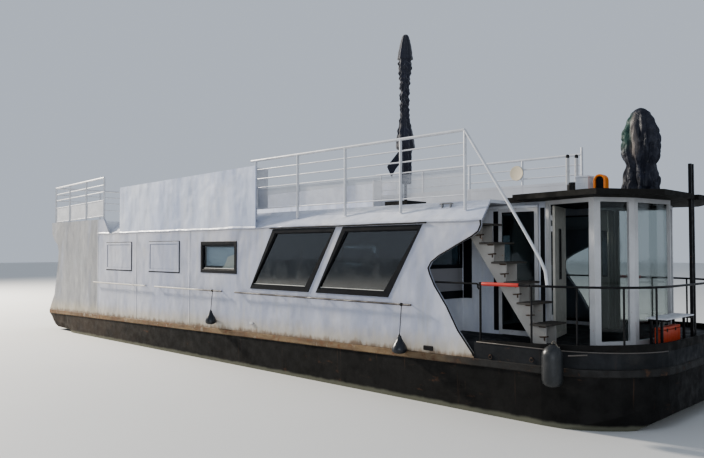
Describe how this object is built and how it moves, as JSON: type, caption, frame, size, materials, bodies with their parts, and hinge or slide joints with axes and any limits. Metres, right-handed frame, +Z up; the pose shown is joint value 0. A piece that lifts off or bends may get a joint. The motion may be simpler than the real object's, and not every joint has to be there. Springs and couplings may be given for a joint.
{
  "type": "houseboat",
  "caption": "Steel houseboat with a long cabin, a roof terrace with rails, a glazed bow cabin and an open foredeck.",
  "frame": {"origin": "centre of the bounding box at the flat bottom of the hull", "axes": "+X to the bow, +Y to port, +Z up"},
  "size_m": [17.2702, 4.606, 6.5],
  "materials": {
    "hull_black": "matt black paint with rust patches",
    "band_rust": "rusted brown paint",
    "bronze": "cast, dull",
    "wall_white": "satin white paint, streaked",
    "door_white": "satin white paint",
    "window_dark": "clear pane in a dark frame",
    "cabin_glass": "clear",
    "roof_black": "matt",
    "rail_grey": "grey paint, worn",
    "rail_black": "black paint",
    "stair_cream": "cream paint with rust streaks",
    "bench_white": "white paint",
    "locker_orange": "moulded",
    "canopy_cloth": "dark weatherproof cloth",
    "pole_steel": "weathered",
    "rope_pale": "twisted synthetic rope",
    "fender_rubber": "inflated rubber, scuffed"
  },
  "bodies": {
    "boat": {"hull": "hull_black", "skeg": "hull_black", "foredeck": "hull_black", "toe_rail": "hull_black", "rubbing_band": "band_rust", "side_wall_starboard": "wall_white", "side_wall_port": "wall_white", "stern_wall": "wall_white", "roof_shoulder_starboard": "wall_white", "roof_shoulder_port": "wall_white", "saloon_bulkhead": "wall_white", "vestibule_wall_starboard": "wall_white", "vestibule_wall_port": "wall_white", "bow_cabin_frame": "wall_white", "windbreak_starboard": "wall_white", "windbreak_port": "wall_white", "vent_box": "wall_white", "window_aft_starboard": "window_dark", "window_middle_starboard": "window_dark", "window_forward_starboard": "window_dark", "window_aft_port": "window_dark", "window_middle_port": "window_dark", "window_forward_port": "window_dark", "bow_cabin_glass": "cabin_glass", "vestibule_pane_port": "cabin_glass", "roof_deck": "roof_black", "bow_roof": "roof_black", "terrace_rail_starboard": "rail_grey", "terrace_rail_port": "rail_grey", "perforated_panel_starboard": "rail_grey", "perforated_panel_port": "rail_grey", "stern_rail_starboard": "rail_grey", "stern_rail_port": "rail_grey", "stern_rail_aft": "rail_grey", "bow_rail": "rail_black", "boarding_post_starboard": "rail_black", "boarding_post_port": "rail_black", "bow_mast": "rail_black", "stair": "stair_cream", "bench": "bench_white", "locker": "locker_orange", "roof_lamp": "locker_orange", "parasol_canopy": "canopy_cloth", "covered_item": "canopy_cloth", "parasol_pole": "pole_steel", "flue": "pole_steel", "fender_aft": "fender_rubber", "fender_middle": "fender_rubber", "fender_bow": "fender_rubber", "fender_aft_lanyard": "rope_pale", "fender_middle_lanyard": "rope_pale", "fender_bow_lanyard": "rope_pale"},
    "propeller": {"propeller": "bronze"},
    "rudder": {"rudder": "hull_black"},
    "sliding_door_starboard": {"sliding_door_starboard": "door_white"},
    "bow_door_starboard": {"bow_door_starboard": "door_white"},
    "bow_door_port": {"bow_door_port": "door_white"},
    "boarding_bar_starboard": {"boarding_bar_starboard": "rail_black"},
    "boarding_bar_port": {"boarding_bar_port": "rail_black"}
  },
  "joints": [
    {"name": "propeller_spin", "type": "hinge", "parent": "boat", "child": "propeller", "pos_m": [-7.685, 0.097, 0.275], "axis": [1, 0, 0], "continuous": true},
    {"name": "rudder_pivot", "type": "hinge", "parent": "boat", "child": "rudder", "pos_m": [-8.045, 0.097, 0.3], "axis": [0, 0, 1], "range_deg": [-35, 35]},
    {"name": "sliding_door_starboard_slide", "type": "slide", "parent": "boat", "child": "sliding_door_starboard", "axis": [-1, 0, 0], "range_m": [0, 0.64]},
    {"name": "bow_door_starboard_hinge", "type": "hinge", "parent": "boat", "child": "bow_door_starboard", "pos_m": [6.96667, -1.02703, 2.48], "axis": [0, 0, -1], "range_deg": [0, 122]},
    {"name": "bow_door_port_hinge", "type": "hinge", "parent": "boat", "child": "bow_door_port", "pos_m": [6.96667, 1.22103, 2.48], "axis": [0, 0, 1], "range_deg": [0, 122]},
    {"name": "boarding_bar_starboard_hinge", "type": "hinge", "parent": "boat", "child": "boarding_bar_starboard", "pos_m": [6.3449, -1.948, 2.32], "axis": [0, 0, -1], "range_deg": [0, 95]},
    {"name": "boarding_bar_port_hinge", "type": "hinge", "parent": "boat", "child": "boarding_bar_port", "pos_m": [6.3449, 2.142, 2.32], "axis": [0, 0, 1], "range_deg": [0, 95]}
  ]
}
